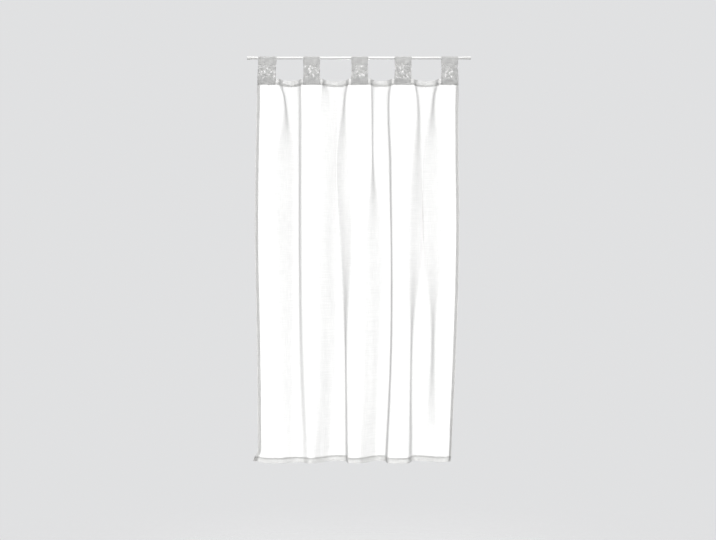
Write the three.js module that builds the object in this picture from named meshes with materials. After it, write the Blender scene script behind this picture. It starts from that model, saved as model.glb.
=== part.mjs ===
// A sheer white cafe curtain, hung by five cloth tabs from a thin rod that is wedged between two walls.
// Millimetres, +X to the right along the rod, +Z up, and the room side towards -Y.
// The origin is the centre of the rod's left end face.

import * as THREE from 'three';

// Driving dimensions
const ROD_SPAN = 660; // between the two end faces
const ROD_RADIUS = 3.8;
const FOOT = { radius: 4.7, length: 11, softEdge: 0.6 };
const COLLAR = { radius: 4.3, length: 11 };
const ROUND_SIDES = 24;
const GAP = 0.3; // between neighbouring pieces

const FLAT_WIDTH = 720; // the panel laid out flat, between its sewn side edges
const CLOTH = 1.0; // one layer
const HEM_CLOTH = 1.8; // where an edge is turned and sewn
const SIDE_HEM = 10;

const HEADING_TOP = -61.6; // the panel's upper edge where a tab holds it
const HEADING_LINE = -79.6; // the sewn line under the heading hem
const HEM_LINE = -1176.4; // the sewn line over the bottom hem
const HEM_BOTTOM = -1192;
const SAG = { drop: 1.0, fadesBy: -420 }; // the upper edge's droop between two tabs, and where it has gone
const BACK = { from: 2, to: 44 }; // how far behind the rod the droop starts and is full

const TAB_CLOTH = 1.2;
const TAB_SHOULDER = 3.5; // how far the flat stretch under a tab runs past the tab's side
const TAB_END = HEADING_LINE + 3.2; // both ends of a tab lie on the heading hem, down to here
const TAB_GRIP = 4; // how far a tab's legs stay pressed together above the heading's upper edge
// On its way up to the rod a tab's leg stands off the middle by a share of the rod's own width.
const TAB_LEG = [{ height: -42, spread: 0.3 }, { height: -20, spread: 0.75 }];
const TAB_ARC = [0, 30, 60, 90]; // degrees round the rod, from its back to its top
const TAB_ACROSS = [-0.5, -0.25, 0, 0.25, 0.5]; // the mesh steps over a tab's width

// Every place along X below is measured from the middle of the rod.
const TABS = [
  { name: 'tab_1', middle: -272.7, width: 54, skew: 2.2, slack: 0.9 },
  { name: 'tab_2', middle: -139.5, width: 49.5, skew: -0.6, slack: 0.5 },
  { name: 'tab_3', middle: 1.8, width: 49.6, skew: 0.4, slack: 0.7 },
  { name: 'tab_4', middle: 129.5, width: 49.6, skew: 0.8, slack: 1.2 },
  { name: 'tab_5', middle: 267.5, width: 50.1, skew: -0.5, slack: 0.6 },
];

// The heights at which the tables give a value, from the heading down to the bottom edge.
const HEIGHTS = { heading: -76.7, neck: -112, upper: -313, middle: -534, lower: -829, hem: -1192 };

// A wall is the steep stretch between a front fold and a back fold: where it stands at each height.
const WALLS = [
  { heading: -233.7, neck: -221.5, upper: -220.7, middle: -218.3, lower: -215.4, hem: -209.5 },
  { heading: -174.3, neck: -174.0, upper: -174.9, middle: -174.3, lower: -170.8, hem: -156.4 },
  { heading: -104.3, neck: -98.8, upper: -95.9, middle: -95.3, lower: -94.4, hem: -114.5 },
  { heading: -34.5, neck: -41.3, upper: -46.6, middle: -37.8, lower: -38.4, hem: -35.4 },
  { heading: 38.1, neck: 38.2, upper: 41.3, middle: 44.3, lower: 37.2, hem: 23.6 },
  { heading: 93.2, neck: 88.5, upper: 93.2, middle: 95.9, lower: 95.0, hem: 81.1 },
  { heading: 165.8, neck: 172.9, upper: 172.3, middle: 167.6, lower: 155.5, hem: 151.9 },
  { heading: 231.0, neck: 222.7, upper: 220.1, middle: 219.5, lower: 218.6, hem: 210.9 },
];

// How far the two folds at each wall tuck under one another. Under zero the wall is a soft slope.
const TUCKS = [
  { heading: -6, neck: 4, upper: -48, middle: -46, lower: -34, hem: -24 },
  { heading: -5, neck: -5, upper: -5, middle: -6, lower: -8, hem: -13 },
  { heading: -5, neck: -30, upper: -50, middle: -52, lower: -50, hem: -40 },
  { heading: -5, neck: -1, upper: -34, middle: -28, lower: -2, hem: 1 },
  { heading: -5, neck: -2, upper: 1, middle: -44, lower: -40, hem: -40 },
  { heading: -5, neck: -1, upper: 2, middle: 3, lower: 3, hem: 4 },
  { heading: -5, neck: -3, upper: -22, middle: -42, lower: -3, hem: -7 },
  { heading: -5, neck: 0, upper: -50, middle: -52, lower: -4, hem: -44 },
];

// How far behind the rod each fold lies before the folds are drawn to the cloth's own width.
// Fronts and backs take turns, from the left.
const FOLDS = [
  { heading: 0, neck: 0, upper: -6, middle: -11, lower: -15, hem: -20 },
  { heading: 44, neck: 44, upper: 36, middle: 25, lower: 15, hem: 1 },
  { heading: 0, neck: 0, upper: -8, middle: -13, lower: -16, hem: -18 },
  { heading: 46, neck: 46, upper: 36, middle: 29, lower: 28, hem: 27 },
  { heading: 0, neck: 0, upper: -8, middle: -14, lower: -17, hem: -20 },
  { heading: 42, neck: 43, upper: 36, middle: 29, lower: 28, hem: 28 },
  { heading: 0, neck: 0, upper: -8, middle: -14, lower: -17, hem: -21 },
  { heading: 44, neck: 44, upper: 36, middle: 29, lower: 28, hem: 27 },
  { heading: 0, neck: 0, upper: -6, middle: -8, lower: -4, hem: 4 },
];

// How far a back fold's sides are drawn forward to its fronts, as a share of its depth: 0 is boxy.
const ROUNDNESS = { heading: 0.3, neck: 0.22, upper: 0.06, middle: 0, lower: 0, hem: 0.05 };

// The two free edges: where each one hangs, and how far it curls back from the fold beside it.
const EDGES = {
  left: { heading: -299.7, neck: -301.2, upper: -305.6, middle: -306.5, lower: -300.9, hem: -295.6 },
  right: { heading: 293.2, neck: 293.2, upper: 294.1, middle: 295.6, lower: 288.2, hem: 271.4 },
};
const CURLS = {
  left: { heading: 0, neck: 1, upper: 4, middle: 6, lower: 4, hem: -6 },
  right: { heading: 0, neck: 2, upper: 3, middle: 2, lower: 6, hem: 12 },
};

// The lower left corner flicks out to the side and up.
const CORNER_FLICK = { out: 14, up: 8, across: 30, high: 42 };

// How round a fold is: the push of its middle past its shoulders, as a share of its depth.
const CROWN = 0.12;
const SHOULDER_SHARE = 0.24; // where a free fold's shoulders stand, as a share of its width
const SHOULDER_ROUND = 0.3; // how much of the roundness its shoulders take
const HOLD = 240; // how far down the tabs still hold the folds under them flat

const FOLD_POINTS = 5; // the points that shape one fold

// The search for how deep to draw the folds
const DRAW = { range: [0.2, 3], halvings: 30 };

// Mesh steps
const STEPS = { flat: 2, wall: 3 };
const HEM_STEP = 1.2; // the height over which a hem's extra thickness starts
const ROWS = [
  -92, -112, -150, -212, -290, -370, -450, -530, -610, -690, -770, -850, -930, -1010, -1085, -1140,
];

const materials = {
  voile: new THREE.MeshStandardMaterial({ color: 0xf6f6f4, roughness: 0.85, metalness: 0 }),
  tab: new THREE.MeshStandardMaterial({ color: 0xe9e9e7, roughness: 0.88, metalness: 0 }),
  rod: new THREE.MeshStandardMaterial({ color: 0xf2f2f0, roughness: 0.38, metalness: 0 }),
  foot: new THREE.MeshStandardMaterial({ color: 0xeeeeec, roughness: 0.55, metalness: 0 }),
};

// Tables by height
const levels = Object.values(HEIGHTS).map((z) => -z);

/** A function of height that runs smoothly through one row of a table. */
function byHeight(row) {
  const line = new THREE.CubicInterpolant(levels, Object.values(row), 1);
  return (z) => line.evaluate(Math.max(-z, levels[0]))[0];
}

const wallAt = WALLS.map(byHeight);
const tuckAt = TUCKS.map(byHeight);
const foldAt = FOLDS.map(byHeight);
const roundnessAt = byHeight(ROUNDNESS);
const edgeAt = { left: byHeight(EDGES.left), right: byHeight(EDGES.right) };
const curlAt = { left: byHeight(CURLS.left), right: byHeight(CURLS.right) };

/** How free the cloth is of the tabs' hold at a height, from 0 in the heading to 1. */
const freedomAt = (z) => THREE.MathUtils.smoothstep(HEADING_LINE - z, 0, HOLD);

/** Where a fold's two shoulders and its middle stand. Under a tab they stand as wide as the tab. */
function innerPlaces(left, right, tab, z) {
  const inset = (right - left) * SHOULDER_SHARE;
  const loose = [left + inset, (left + right) / 2, right - inset];
  if (!tab) return loose;
  const reach = tab.width / 2 + TAB_SHOULDER;
  const held = [tab.middle - reach, tab.middle, tab.middle + reach];
  return held.map((x, i) => THREE.MathUtils.lerp(x, loose[i], freedomAt(z)));
}

/** The points that pull one level thread of the cloth into its folds, from the left edge to the right. */
function pullingPoints(z) {
  const points = [];
  const last = FOLDS.length - 1;
  for (let i = 0; i <= last; i += 1) {
    const tab = i % 2 === 0 ? TABS[i / 2] : null;
    const depth = foldAt[i](z);
    const rise = depth - foldAt[i === 0 ? 1 : i - 1](z);
    const crown = CROWN * rise * (tab ? freedomAt(z) : 1);
    const round = tab ? 0 : rise * roundnessAt(z);
    const left = i === 0 ? edgeAt.left(z) : wallAt[i - 1](z) - tuckAt[i - 1](z) / 2;
    const right = i === last ? edgeAt.right(z) : wallAt[i](z) + tuckAt[i](z) / 2;
    const inner = innerPlaces(left, right, tab, z);
    const shoulder = depth - round * SHOULDER_ROUND;
    points.push({ x: left, y: i === 0 ? depth + curlAt.left(z) : depth - round });
    points.push({ x: inner[0], y: shoulder });
    points.push({ x: inner[1], y: depth + crown });
    points.push({ x: inner[2], y: shoulder });
    points.push({ x: right, y: i === last ? depth + curlAt.right(z) : depth - round });
  }
  return points;
}

/** How finely a stretch of a thread is cut: more finely at a wall than in the folds beside it. */
const meshSteps = (segment) => (segment % FOLD_POINTS === 0 ? STEPS.wall : STEPS.flat);

/** A smooth thread that the points pull towards them: a uniform cubic B-spline, with its ends pinned. */
function thread(points) {
  const first = points[0];
  const last = points[points.length - 1];
  const pinned = [first, first, ...points, last, last];
  const out = [];
  for (let i = 0; i + 3 < pinned.length; i += 1) {
    const [a, b, c, d] = pinned.slice(i, i + 4);
    const steps = meshSteps(i);
    for (let k = 0; k < steps; k += 1) {
      const t = k / steps;
      const pull = [(1 - t) ** 3, 3 * t ** 3 - 6 * t ** 2 + 4, 3 * (t + t ** 2 - t ** 3) + 1, t ** 3];
      const mix = (key) => (pull[0] * a[key] + pull[1] * b[key] + pull[2] * c[key] + pull[3] * d[key]) / 6;
      out.push({ x: mix('x'), y: mix('y') });
    }
  }
  out.push({ x: last.x, y: last.y });
  return out;
}

const lengthOf = (line) =>
  line.slice(1).reduce((sum, p, i) => sum + Math.hypot(p.x - line[i].x, p.y - line[i].y), 0);

/** One level thread, its folds drawn deeper or shallower until it is as long as the flat cloth is wide. */
function foldedThread(z) {
  const points = pullingPoints(z);
  const drawn = (factor) => thread(points.map((p) => ({ x: p.x, y: p.y * factor })));
  let [low, high] = DRAW.range;
  for (let i = 0; i < DRAW.halvings; i += 1) {
    const middle = (low + high) / 2;
    if (lengthOf(drawn(middle)) < FLAT_WIDTH) low = middle;
    else high = middle;
  }
  return drawn((low + high) / 2);
}

/** How far back a point lies, from 0 under a tab to 1 in the middle of a back fold. */
const backness = (p) => THREE.MathUtils.smoothstep(p.y, BACK.from, BACK.to);

/** The upper edge droops between the tabs, and the droop dies away down the cloth. */
function sagAt(p, z) {
  return -SAG.drop * backness(p) * THREE.MathUtils.smoothstep(z, SAG.fadesBy, HEADING_TOP);
}

/** The lower left corner is bent outwards and up. */
function flick(p, z) {
  const across = 1 - THREE.MathUtils.smoothstep(p.x - edgeAt.left(z), 0, CORNER_FLICK.across);
  const down = THREE.MathUtils.smoothstep(HEM_BOTTOM + CORNER_FLICK.high - z, 0, CORNER_FLICK.high);
  return across * down;
}

/** A closed sheet from a grid of middle points, each with its own thickness, rows down and columns across. */
function clothSolid(grid, thicknessAt) {
  const rows = grid.length;
  const columns = grid[0].length;
  const side = (sign) => grid.map((row, r) => row.map((point, c) => {
    const down = grid[Math.min(r + 1, rows - 1)][c].clone().sub(grid[Math.max(r - 1, 0)][c]);
    const along = row[Math.min(c + 1, columns - 1)].clone().sub(row[Math.max(c - 1, 0)]);
    const normal = down.cross(along).normalize();
    return point.clone().addScaledVector(normal, sign * thicknessAt(r, c) / 2);
  }));
  const sides = [side(1), side(-1)];
  const position = sides.flat(2).flatMap((p) => p.toArray());
  const at = (s, r, c) => s * rows * columns + r * columns + c;
  const index = [];
  const quad = (a, b, c, d) => index.push(a, b, c, a, c, d);
  for (let r = 0; r + 1 < rows; r += 1) {
    for (let c = 0; c + 1 < columns; c += 1) {
      quad(at(0, r, c), at(0, r + 1, c), at(0, r + 1, c + 1), at(0, r, c + 1));
      quad(at(1, r, c), at(1, r, c + 1), at(1, r + 1, c + 1), at(1, r + 1, c));
    }
  }
  for (let r = 0; r + 1 < rows; r += 1) {
    const end = columns - 1;
    quad(at(0, r, 0), at(1, r, 0), at(1, r + 1, 0), at(0, r + 1, 0));
    quad(at(0, r + 1, end), at(1, r + 1, end), at(1, r, end), at(0, r, end));
  }
  for (let c = 0; c + 1 < columns; c += 1) {
    const end = rows - 1;
    quad(at(0, 0, c + 1), at(1, 0, c + 1), at(1, 0, c), at(0, 0, c));
    quad(at(0, end, c), at(1, end, c), at(1, end, c + 1), at(0, end, c + 1));
  }
  const geometry = new THREE.BufferGeometry();
  geometry.setAttribute('position', new THREE.Float32BufferAttribute(position, 3));
  geometry.setIndex(index);
  geometry.computeVertexNormals();
  return geometry;
}

/** The panel: level threads from the heading to the bottom edge, thicker where its edges are hemmed. */
function panelGeometry() {
  const heights = [
    HEADING_TOP, HEADING_LINE, HEADING_LINE - HEM_STEP, ...ROWS, HEM_LINE + HEM_STEP, HEM_LINE, HEM_BOTTOM,
  ];
  const grid = heights.map((z) => foldedThread(z).map((p) => {
    const bent = flick(p, z);
    return new THREE.Vector3(p.x - CORNER_FLICK.out * bent, p.y, z + sagAt(p, z) + CORNER_FLICK.up * bent);
  }));
  const inHem = (r) => heights[r] >= HEADING_LINE || heights[r] <= HEM_LINE;
  const along = grid.map((row) => {
    const reach = [0];
    row.slice(1).forEach((p, i) => reach.push(reach[i] + p.distanceTo(row[i])));
    return reach;
  });
  const nearSide = (r, c) => Math.min(along[r][c], along[r].at(-1) - along[r][c]) < SIDE_HEM;
  return clothSolid(grid, (r, c) => (inHem(r) || nearSide(r, c) ? HEM_CLOTH : CLOTH));
}

/** The line that a tab follows round the rod, from its end behind the heading to its end in front. */
function tabLine(slack) {
  const leg = HEM_CLOTH / 2 + GAP + TAB_CLOTH / 2;
  const bend = ROD_RADIUS + GAP + TAB_CLOTH / 2;
  const grip = [TAB_END, HEADING_TOP, HEADING_TOP + TAB_GRIP].map((z) => new THREE.Vector2(leg, z));
  const rise = TAB_LEG.map(({ height, spread }) => (
    new THREE.Vector2(THREE.MathUtils.lerp(leg, bend, spread) + slack, height)));
  const turns = TAB_ARC.map(THREE.MathUtils.degToRad);
  const over = turns.map((a) => new THREE.Vector2(bend * Math.cos(a), bend * Math.sin(a)));
  const back = [...grip, ...rise, ...over];
  const front = back.slice(0, -1).reverse().map((p) => new THREE.Vector2(-p.x, p.y));
  return [...back, ...front];
}

/** A cloth strap looped over the rod, with both ends lying on the heading hem. */
function tabGeometry({ middle, width, skew, slack }) {
  const grid = tabLine(slack).map((p) => TAB_ACROSS.map((share) => {
    const lift = THREE.MathUtils.smoothstep(p.y, HEADING_TOP + TAB_GRIP, 0);
    return new THREE.Vector3(middle + share * width + skew * lift, p.x, p.y);
  }));
  return clothSolid(grid, () => TAB_CLOTH);
}

/** A round bar along X between two places, turned from a closed profile. */
function barGeometry(from, to, radius) {
  const profile = [[0, from], [radius, from], [radius, to], [0, to]].map(([x, y]) => new THREE.Vector2(x, y));
  return new THREE.LatheGeometry(profile, ROUND_SIDES).rotateZ(-Math.PI / 2);
}

/** An end foot, from its flat face on the wall to its inner face, with both rims eased. */
function footGeometry(wall, inner) {
  const ease = Math.sign(inner - wall) * FOOT.softEdge;
  const faceRadius = FOOT.radius - FOOT.softEdge;
  const profile = [
    [0, wall], [faceRadius, wall], [FOOT.radius, wall + ease], [FOOT.radius, inner - ease],
    [faceRadius, inner], [0, inner],
  ].map(([x, y]) => new THREE.Vector2(x, y));
  if (inner < wall) profile.reverse();
  return new THREE.LatheGeometry(profile, ROUND_SIDES).rotateZ(-Math.PI / 2);
}

function piece(name, geometry, material) {
  const mesh = new THREE.Mesh(geometry, material);
  mesh.name = name;
  return mesh;
}

const curtain = new THREE.Group();
const half = ROD_SPAN / 2;
const footInner = half - FOOT.length;
const collarOuter = footInner - GAP;
const collarInner = collarOuter - COLLAR.length;
curtain.add(piece('rod', barGeometry(-footInner + GAP, collarInner - GAP, ROD_RADIUS), materials.rod));
curtain.add(piece('end_foot_left', footGeometry(-half, -footInner), materials.foot));
curtain.add(piece('end_foot_right', footGeometry(half, footInner), materials.foot));
curtain.add(piece('twist_collar', barGeometry(collarInner, collarOuter, COLLAR.radius), materials.foot));
curtain.add(piece('curtain_panel', panelGeometry(), materials.voile));
TABS.forEach((tab) => curtain.add(piece(tab.name, tabGeometry(tab), materials.tab)));
curtain.position.x = half;

const object = new THREE.Group();
object.add(curtain);

export default object;
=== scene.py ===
"""The looks of a sheer white cafe curtain on its thin rod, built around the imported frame.

Sizes are in millimetres until a mesh is made. Places along X are measured from the middle of the rod,
heights from the rod's axis, and the room side is towards -Y, as in the part's source.
"""

import math

import bpy
import numpy as np
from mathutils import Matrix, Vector


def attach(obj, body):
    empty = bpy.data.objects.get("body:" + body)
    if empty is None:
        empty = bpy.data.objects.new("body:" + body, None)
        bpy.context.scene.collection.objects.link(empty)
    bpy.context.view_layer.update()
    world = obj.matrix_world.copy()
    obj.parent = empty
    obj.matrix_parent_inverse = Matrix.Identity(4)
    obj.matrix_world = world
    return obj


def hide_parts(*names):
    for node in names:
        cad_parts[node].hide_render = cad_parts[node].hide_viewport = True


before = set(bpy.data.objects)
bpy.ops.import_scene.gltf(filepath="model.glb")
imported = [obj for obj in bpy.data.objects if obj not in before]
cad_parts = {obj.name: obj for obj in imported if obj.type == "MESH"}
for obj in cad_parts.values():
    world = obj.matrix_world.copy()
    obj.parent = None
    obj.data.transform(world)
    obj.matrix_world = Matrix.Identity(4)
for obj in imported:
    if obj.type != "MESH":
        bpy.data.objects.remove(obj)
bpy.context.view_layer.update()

MM = 0.001
SEED = 41

# The rod and its ends
ROD_SPAN = 660.0
ROD_RADIUS = 3.8
ROD_RIM = {"ease": 0.3, "steps": 3}
FOOT = {"radius": 4.7, "length": 11.0}
FOOT_RIM = {"ease": 0.6, "steps": 4}
GROOVE_PLACES = (-1.8, 1.8)  # from the middle of the foot
GROOVE = [(-0.55, 0), (-0.35, -0.22), (0, -0.32), (0.35, -0.22), (0.55, 0)]
COLLAR = {"radius": 4.3, "length": 11.0}
COLLAR_RIM = {"ease": 0.35, "steps": 3}
RIBS = {"count": 36, "depth": 0.16, "from": 1.2, "full": 2.0}
RIBBED_MESH = {"sides": 144, "rings": 12, "inset": 1.1}
GAP = 0.3
ROUND_SIDES = 72
CRISP = 50.0  # degrees between faces that meet in a crisp edge

# The panel, as in the part's source
FLAT_WIDTH = 720.0
HEADING_TOP = -61.6
HEADING_LINE = -79.6  # the sewn line under the heading
HEM_LINE = -1176.4  # the sewn line over the bottom hem
HEM_BOTTOM = -1192.0
SAG = {"drop": 1.0, "fades_by": -420.0}  # the upper edge's droop between two tabs, and where it has gone
BACK = {"from": 2.0, "to": 44.0}  # how far behind the rod the droop starts and is full
CORNER_FLICK = {"out": 14.0, "up": 8.0, "across": 30.0, "high": 42.0}  # the lower left corner's
CROWN = 0.12  # the push of a fold's middle past its shoulders, as a share of its depth
SHOULDER_SHARE = 0.24  # where a free fold's shoulders stand, as a share of its width
SHOULDER_ROUND = 0.3  # how much of the roundness its shoulders take
HOLD = 240.0  # how far down the tabs still hold the folds under them flat
LEVELS = [76.7, 112.0, 313.0, 534.0, 829.0, 1192.0]  # below the rod's axis

# Tables with a column for each level: where the wall between two folds stands, how far those folds tuck
# under one another there, how far back each fold lies, how much a loose fold's sides round off, and where
# the two side edges hang and how far back they curl.
WALLS = [
    [-233.7, -221.5, -220.7, -218.3, -215.4, -209.5],
    [-174.3, -174.0, -174.9, -174.3, -170.8, -156.4],
    [-104.3, -98.8, -95.9, -95.3, -94.4, -114.5],
    [-34.5, -41.3, -46.6, -37.8, -38.4, -35.4],
    [38.1, 38.2, 41.3, 44.3, 37.2, 23.6],
    [93.2, 88.5, 93.2, 95.9, 95.0, 81.1],
    [165.8, 172.9, 172.3, 167.6, 155.5, 151.9],
    [231.0, 222.7, 220.1, 219.5, 218.6, 210.9],
]
TUCKS = [
    [-6, 4, -48, -46, -34, -24],
    [-5, -5, -5, -6, -8, -13],
    [-5, -30, -50, -52, -50, -40],
    [-5, -1, -34, -28, -2, 1],
    [-5, -2, 1, -44, -40, -40],
    [-5, -1, 2, 3, 3, 4],
    [-5, -3, -22, -42, -3, -7],
    [-5, 0, -50, -52, -4, -44],
]
FOLDS = [
    [0, 0, -6, -11, -15, -20],
    [44, 44, 36, 25, 15, 1],
    [0, 0, -8, -13, -16, -18],
    [46, 46, 36, 29, 28, 27],
    [0, 0, -8, -14, -17, -20],
    [42, 43, 36, 29, 28, 28],
    [0, 0, -8, -14, -17, -21],
    [44, 44, 36, 29, 28, 27],
    [0, 0, -6, -8, -4, 4],
]
ROUNDNESS = [0.3, 0.22, 0.06, 0, 0, 0.05]
LEFT_EDGE = [-299.7, -301.2, -305.6, -306.5, -300.9, -295.6]
RIGHT_EDGE = [293.2, 293.2, 294.1, 295.6, 288.2, 271.4]
LEFT_CURL = [0, 1, 4, 6, 4, -6]
RIGHT_CURL = [0, 2, 3, 2, 6, 12]

# How finely the cloth is worked out, and then meshed: coarse in the middle, fine near its edges.
PANEL_ROWS = 452
PANEL_COLUMNS = 661
THREAD_STEPS = 12  # from one pulling point of a thread to the next
DEPTH_FACTORS = (0.2, 3.0)  # the least and the most that the folds' depths are multiplied by
HALVINGS = 30  # how often the span between these two is halved
ACROSS = {"coarse": 3.05, "fine": 2.5, "near": 20.0}
DOWN = {"coarse": 4.6, "fine": 2.6, "near": 44.0}

# How the real cloth is turned at its edges: the hem that shows behind, and the raw edge turned under it.
SIDE_HEM = {"turned": 10.0, "under": 8.0, "step": 0.12}
TOP_HEM = {"turned": 18.0, "under": 7.0, "step": 0.4}
LOW_HEM = {"turned": 15.6, "under": 5.0, "step": 0.4}
UNDER_POINTS = 4  # across the raw edge that is turned under
TURNED_POINTS = 5  # across the hem that shows behind
BEND_ANGLES = (45, 90, 135)  # where a turn's points lie, in degrees round it
FACE = -0.4  # the front layer lies this far before the middle of the frame's own sheet

# Rumples: how proud each kind stands, and how far it reaches from what makes it
RIPPLE = {"wide": 1.3, "narrow": 0.45, "starts_over": 130.0, "at_side": 0.35, "side_reach": 60.0}
TAB_PULL = {"proud": 0.75, "fades_over": 55.0, "from": 2.0, "full": 20.0}
HEM_PUCKER = {"proud": 0.55, "above": 34.0, "pressed": 0.45, "from": 2.0, "full": 13.0}
LOW_CREASE = {"proud": 1.1, "above": 140.0}
HEADING_CRUMPLE = {"pucker": 0.6, "crease": 0.8, "below": 22.0}
SIDE_PUCKER = {"proud": 0.35, "from": 6.0, "to": 26.0}
HEM_WAVE = {"rise": 0.9, "above": 60.0}
HEADING_WAVE = {"rise": 0.35, "closer": 1.3}

# Each tab: its middle, width, the sideways lean at the rod, and how loose its legs hang.
TABS = {
    "tab_1": (-272.7, 54.0, 2.2, 0.9),
    "tab_2": (-139.5, 49.5, -0.6, 0.5),
    "tab_3": (1.8, 49.6, 0.4, 0.7),
    "tab_4": (129.5, 49.6, 0.8, 1.2),
    "tab_5": (267.5, 50.1, -0.5, 0.6),
}
TAB_CLOTH = 1.2  # the thickness of the frame's own tab
TAB_LAYER = 0.8  # the two real layers of a tab, pressed
TAB_SHOULDER = 3.5  # how far the flat stretch under a tab runs past the tab's side
TAB_END = HEADING_LINE + 3.2  # the height of its two ends
TAB_SEAT = -70.0  # the height on the heading where a tab's middle is matched to the cloth
TAB_LEG = [(-42.0, 0.3), (-20.0, 0.75)]  # heights, and the share of the way out to the loop a leg has gone
TAB_GRIP = 4.0  # how far over the heading its legs stay as close as they are on it
TAB_STEP = 1.9  # along the strap, from one ring of points to the next
TAB_POINTS = 27  # across one face of the strap
TAB_BULGE = 1.012  # how far its pressed edge stands out, as a share of half its width
TAB_EDGE_THIN = {"share": 0.35, "power": 12}
TAB_WAIST = 0.045  # how much narrower it is halfway up, as a share of its width
TAB_RUMPLE = {"edge": 0.35, "crease": 0.75, "fine": 0.3, "sewn": 0.175}
TAB_CREASE_CELL = (13, 9)  # the size of its creases, across and along
TAB_FINE_CELL = (6, 7)
TAB_EDGE_CELL = (1, 15)  # one row for each edge, and the size of its waves along
ON_ROD = {"middle": -1.0, "from": 9.0, "to": 26.0, "calm": 0.85}  # where it lies taut, and how much calmer
SEWN_DOWN = {"below": 2.0, "above": 12.0}  # round the heading's top edge, where a tab comes free
HEM_CLOTH = 1.8  # the thickness of the frame's own sheet at its hems
LEG_DEPTH = HEM_CLOTH / 2 + GAP + TAB_CLOTH / 2
LOOP_RADIUS = ROD_RADIUS + GAP + TAB_CLOTH / 2

# Sewing. A stitch's dip is how far its ends sink, as a share of its radius.
STITCH = {"length": 2.3, "pitch": 2.9, "radius": 0.2, "sides": 6, "dip": 0.5}
STITCH_SHAPE = [(-1.0, 0.35), (-0.55, 1.0), (0.55, 1.0), (1.0, 0.35)]  # places, and shares of the radius
STITCH_LENGTHS = (0.92, 1.05)  # the shortest and the longest, as shares of the length above
STITCH_LIFT = {"front": 0.12, "back": 0.2, "tab": 0.1}
TOP_SEAM = HEADING_LINE + 2.0
LOW_SEAM = HEM_LINE - 1.6
SIDE_SEAM = 8.6  # in from the cloth's edge
SIDE_SEAM_ENDS = 3.0  # how far it keeps from the heading's and the hem's lines
SEAM_ENDS = (2.0, 1.0)  # how far a row across keeps from the two ends
SEAM_BY_TAB = 1.5  # how far the heading's row keeps from a tab's side
SEAM_PROBE = 0.6  # the short way along a seam that gives its direction

# The look of the cloths. Opacity is how well they cover and uneven how far that varies, glow is how much
# of their look is light that comes through, patchy is how much darker their dark patches are, and pitch is
# how far one thread lies from the next, in metres.
VOILE = {
    "colour": (0.76, 0.76, 0.755),
    "opacity": 0.88,
    "glow": 0.75,
    "sheen": 0.22,
    "pitch": 0.0007,
    "uneven": 0.07,
    "patchy": 0.02,
}
TAB_VOILE = {
    "colour": (0.83, 0.83, 0.825),
    "opacity": 0.9,
    "glow": 0.45,
    "sheen": 0.25,
    "pitch": 0.0007,
    "uneven": 0.09,
    "patchy": 0.08,
    "marked": True,
}
WARP_SLUBS = (760, 22, 1)  # about how many there are to a metre, across and down
WEFT_SLUBS = (18, 620, 1)
COVER_MIX = {"slubs": 0.5, "clouds": 0.35, "threads": 0.16}  # how much each makes the cover vary
RELIEF_MIX = {"slubs": 0.6, "threads": 0.5}  # how much each stands out

# Bright marks on a tab's free stretch: their grain, and the heights in metres where they come and go
MARKS = {"scale": 170.0, "stretch": (1, 0, 0.65), "from": 0.55, "full": 0.61, "cover": 0.45, "glow": 0.95}
MARKS_LOW = (-0.064, -0.055)
MARKS_HIGH = (-0.024, -0.016)

# Floor, light and camera, in metres. A sun has its place, how many degrees wide it looks and its strength.
FLOOR = {"height": -2.3, "radius": 4.5, "fades_from": 1.6, "rings": 12, "spokes": 96}
CENTRE = (0.33, 0.0, -0.6)
SUNS = {
    "daylight_behind": ((0.33, 3.0, -0.3), 4, 4.9),
    "soft_front": ((0.33, -3.0, 0.3), 15, 1.6),
    "sky_above": ((0.33, -0.5, 2.4), 40, 1.3),
}
ROD_LIGHT = {"place": (0.33, -0.4, 0.55), "aim": (0.33, 0.0, 0.0), "size": (1.1, 0.25), "power": 3.5}
ROOM = {"colour": (0.985, 0.99, 1.0, 1), "seen": 0.76, "shed": 0.05}
CAMERA = {"place": (0.327, -3.0, -0.6254), "lens": 51.13, "sensor": 36}


# Small maths


def smoothstep(x, low, high):
    t = np.clip((np.asarray(x, float) - low) / (high - low), 0, 1)
    return t * t * (3 - 2 * t)


def by_height(row, z):
    """A row of a table, smooth between its levels: a cubic whose slopes are the means of its neighbours'."""
    t = np.asarray(LEVELS)
    v = np.asarray(row, float)
    at = np.clip(-np.asarray(z, float), t[0], t[-1])
    slope = np.diff(v) / np.diff(t)
    tangent = np.concatenate([[slope[0]], (slope[1:] + slope[:-1]) / 2, [slope[-1]]])
    i = np.clip(np.searchsorted(t, at, side="right") - 1, 0, len(t) - 2)
    span = t[i + 1] - t[i]
    p = (at - t[i]) / span
    h00 = 2 * p**3 - 3 * p**2 + 1
    h10 = p**3 - 2 * p**2 + p
    h01 = -2 * p**3 + 3 * p**2
    h11 = p**3 - p**2
    return h00 * v[i] + h10 * span * tangent[i] + h01 * v[i + 1] + h11 * span * tangent[i + 1]


def way_along(line):
    """How far along a line each of its points lies."""
    return np.concatenate([[0], np.cumsum(np.linalg.norm(np.diff(line, axis=0), axis=1))])


def eased_share(t):
    """A share from 0 to 1 that starts and stops so gently that no crease shows in the noise."""
    return t * t * t * (t * (t * 6 - 15) + 10)


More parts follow.
